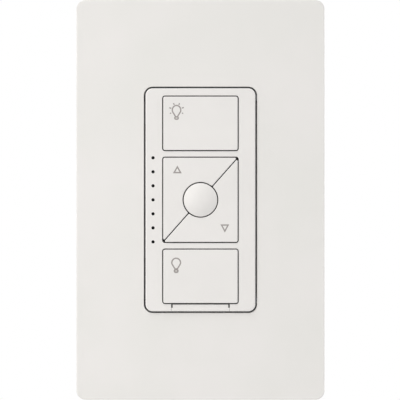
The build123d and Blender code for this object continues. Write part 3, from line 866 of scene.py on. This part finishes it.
def screwHead(screw):
    radius, height = screw["headRadius"], screw["headHeight"]
    deselectAll()
    bpy.ops.mesh.primitive_cylinder_add(
        vertices=headLook["sides"], radius=radius, depth=height, location=(0, 0, height / 2)
    )
    bpy.ops.object.transform_apply(location=True)
    head = editPiece("head")
    pick(head, lambda co: co.z > height - tiny)
    bpy.ops.mesh.bevel(
        offset=height * headLook["roundShare"], segments=headLook["roundSteps"], affect="EDGES"
    )
    pick(head, lambda co: co.z < tiny)
    bpy.ops.mesh.inset(thickness=radius - screw["neckRadius"])
    bpy.ops.mesh.extrude_region_move(
        TRANSFORM_OT_translate={"value": (0, 0, -screw["neckLength"] - screw["pitch"] / 2)}
    )
    head = closeEdit()
    length, width, depth = screw["recess"]
    arms = [(length, width), (width, length)]
    if screw["slotLength"]:
        arms.append((screw["slotLength"], width))
    for alongX, alongY in arms:
        deselectAll()
        bpy.ops.mesh.primitive_cube_add(size=1, location=(0, 0, 0))
        cutter = editPiece("cutter")
        bpy.ops.transform.resize(value=(alongX, alongY, 2 * depth), center_override=(0, 0, 0))
        bpy.ops.transform.translate(value=(0, 0, height))
        pick(cutter, lambda co: co.z < height)
        taper = headLook["recessTaper"]
        bpy.ops.transform.resize(value=(taper, taper, 1), center_override=(0, 0, height))
        cutter = closeEdit()
        applyModifier(
            head, "BOOLEAN", {"operation": "DIFFERENCE", "object": cutter, "solver": "EXACT"}
        )
        bpy.data.objects.remove(cutter)
    return head


for name, screw in screwKinds.items():
    low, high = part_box(screw["node"])
    length = (high.y - low.y) / mm - screw["headHeight"]
    shank = threadedShank(screw, -screw["neckLength"], -length)
    pattern = joinPieces([screwHead(screw), shank])
    bpy.ops.object.shade_smooth_by_angle(angle=math.radians(headLook["smoothAngle"]))
    pattern.data.materials.clear()
    pattern.data.materials.append(zincSteel)
    radius = screw["headRadius"] * mm
    seat = screw["headHeight"] * mm
    seatY = low.y + seat if screw["facing"] > 0 else high.y - seat
    columns = (low.x + radius, high.x - radius)[:screw["across"]]
    rows = (low.z + radius, high.z - radius)[:screw["rows"]]
    count = 0
    for x in columns:
        for z in rows:
            count += 1
            copy = pattern.copy()
            copy.data = pattern.data.copy()
            copy.name = f"{name}{count}"
            bpy.context.collection.objects.link(copy)
            setInFrame(copy, (x, seatY, z), screw["facing"])
            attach(copy, "base")
            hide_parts(screw["node"])
    bpy.data.objects.remove(pattern)
    print("screws:", count, "of", name)


# Stage: a pale floor below the plate that fades out and is clear from its underside, and a world that
# the camera sees as white.
stageLook = {
    "floorDrop": 30.0,
    "floorRadius": 620.0,
    "floorSides": 96,
    "fadeStart": 220.0,
    "fadeEnd": 560.0,
    "floorColour": "#F2F1EF",
    "bounceColour": "#E7E7E7",
    "cameraGain": 1.18,
    "ambientFront": 0.697,
    "ambientBack": 0.84,
    "ambientBackTop": 0.65,
    "frontToBack": (-0.3, 0.3),  # how far back a direction points
    "lowToTop": (0.0, 0.6),  # and how far up
    "ambientColour": "#FCFDFF",
}
deselectAll()
floorZ = cadBox[0].z - stageLook["floorDrop"] * mm
bpy.ops.mesh.primitive_circle_add(
    vertices=stageLook["floorSides"],
    radius=stageLook["floorRadius"] * mm,
    fill_type="NGON",
    location=(0, 0, floorZ),
)
floor = bpy.context.object
floor.name = "paleFloor"

floorPaper = bpy.data.materials.new("paleFloorPaper")
floorPaper.use_nodes = True
tree = floorPaper.node_tree
tree.nodes.clear()
place = addNode(tree, "ShaderNodeTexCoord", {}).outputs["Object"]
reach = addNode(tree, "ShaderNodeVectorMath", {"operation": "LENGTH"}, {0: place})
fade = addNode(
    tree,
    "ShaderNodeMapRange",
    {"From Min": stageLook["fadeStart"] * mm, "From Max": stageLook["fadeEnd"] * mm},
    {"Value": reach.outputs["Value"]},
)
underside = addNode(tree, "ShaderNodeNewGeometry", {}).outputs["Backfacing"]
gone = addNode(
    tree, "ShaderNodeMath", {"operation": "MAXIMUM"}, {0: fade.outputs["Result"], 1: underside}
)
rays = addNode(tree, "ShaderNodeLightPath", {})
paper = linear(stageLook["floorColour"])
shown = [channel * stageLook["cameraGain"] for channel in paper[:3]] + [1.0]
tint = addNode(
    tree,
    "ShaderNodeMix",
    {"data_type": "RGBA", 6: linear(stageLook["bounceColour"]), 7: shown},
    {"Factor": rays.outputs["Is Camera Ray"]},
)
matt = addNode(tree, "ShaderNodeBsdfDiffuse", {}, {"Color": tint.outputs[2]})
clear = addNode(tree, "ShaderNodeBsdfTransparent", {})
blend = addNode(
    tree,
    "ShaderNodeMixShader",
    {},
    {0: gone.outputs[0], 1: matt.outputs[0], 2: clear.outputs[0]},
)
addNode(tree, "ShaderNodeOutputMaterial", {}, {"Surface": blend.outputs[0]})
floor.data.materials.append(floorPaper)

world = bpy.data.worlds.new("studio")
bpy.context.scene.world = world
world.use_nodes = True
tree = world.node_tree
tree.nodes.clear()
rays = addNode(tree, "ShaderNodeLightPath", {})
mirrored = addNode(
    tree,
    "ShaderNodeMath",
    {"operation": "MAXIMUM"},
    {0: rays.outputs["Is Glossy Ray"], 1: rays.outputs["Is Transmission Ray"]},
)
seen = addNode(
    tree,
    "ShaderNodeMath",
    {"operation": "MAXIMUM"},
    {0: rays.outputs["Is Camera Ray"], 1: mirrored.outputs[0]},
)
direction = addNode(tree, "ShaderNodeTexCoord", {}).outputs["Generated"]
axes = addNode(tree, "ShaderNodeSeparateXYZ", {}, {"Vector": direction})
backGlow = addNode(
    tree,
    "ShaderNodeMapRange",
    {
        "From Min": stageLook["lowToTop"][0],
        "From Max": stageLook["lowToTop"][1],
        "To Min": stageLook["ambientBack"],
        "To Max": stageLook["ambientBackTop"],
    },
    {"Value": axes.outputs["Z"]},
)
glow = addNode(
    tree,
    "ShaderNodeMapRange",
    {
        "From Min": stageLook["frontToBack"][0],
        "From Max": stageLook["frontToBack"][1],
        "To Min": stageLook["ambientFront"],
    },
    {"Value": axes.outputs["Y"], "To Max": backGlow.outputs["Result"]},
)
ambient = addNode(
    tree,
    "ShaderNodeBackground",
    {"Color": linear(stageLook["ambientColour"])},
    {"Strength": glow.outputs["Result"]},
)
white = addNode(tree, "ShaderNodeBackground", {"Color": linear("#FFFFFF"), "Strength": 1.0})
blend = addNode(
    tree,
    "ShaderNodeMixShader",
    {},
    {0: seen.outputs[0], 1: ambient.outputs[0], 2: white.outputs[0]},
)
addNode(tree, "ShaderNodeOutputWorld", {}, {"Surface": blend.outputs[0]})
print("stage: floor at", round(floorZ, 4), "m")

# Lamps: two soft boxes that slant onto the face from the left and from above, one low at the right
# for the rim and one behind for the housing. The world gives most of the light, as a white tent does.
lamps = {
    "leftSoftBox": {"place": (-0.30, -0.30, 0.06), "size": 0.24, "power": 0.43, "colour": "#FFFDFB"},
    "topSoftBox": {"place": (-0.7, -1.0, 2.4), "size": 1.2, "power": 21.5, "colour": "#FFFEFD"},
    "rimSoftBox": {"place": (0.7, 0.06, 0.05), "size": 0.25, "power": 0.45, "colour": "#FFFFFF"},
    "backSoftBox": {"place": (0.1, 1.0, 0.3), "size": 0.8, "power": 2.1, "colour": "#FFFFFF"},
}
for name, lamp in lamps.items():
    deselectAll()
    towards = -Vector(lamp["place"])
    turn = towards.to_track_quat("-Z", "Y").to_euler()
    bpy.ops.object.light_add(type="AREA", location=lamp["place"], rotation=turn)
    light = bpy.context.object
    light.name = name
    light.data.shape = "SQUARE"
    light.data.size = lamp["size"]
    light.data.energy = lamp["power"]
    light.data.color = linear(lamp["colour"])[:3]

# Camera: straight on from far away, with a square frame that the plate's height just fills
cameraLook = {
    "distance": 3500.0,
    "frameSpan": 119.26,
    "aim": (-0.14, -0.05),
    "sensor": 36.0,
    "clip": (0.01, 10.0),  # metres
}
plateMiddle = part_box("wallplate")[0].y / 2
deselectAll()
bpy.ops.object.camera_add(
    location=(
        cameraLook["aim"][0] * mm,
        plateMiddle - cameraLook["distance"] * mm,
        cameraLook["aim"][1] * mm,
    ),
    rotation=(math.pi / 2, 0, 0),
)
camera = bpy.context.object
camera.data.sensor_width = cameraLook["sensor"]
camera.data.lens = cameraLook["sensor"] * cameraLook["distance"] / cameraLook["frameSpan"]
camera.data.clip_start, camera.data.clip_end = cameraLook["clip"]
bpy.context.scene.camera = camera
bpy.context.scene.view_settings.view_transform = "Standard"
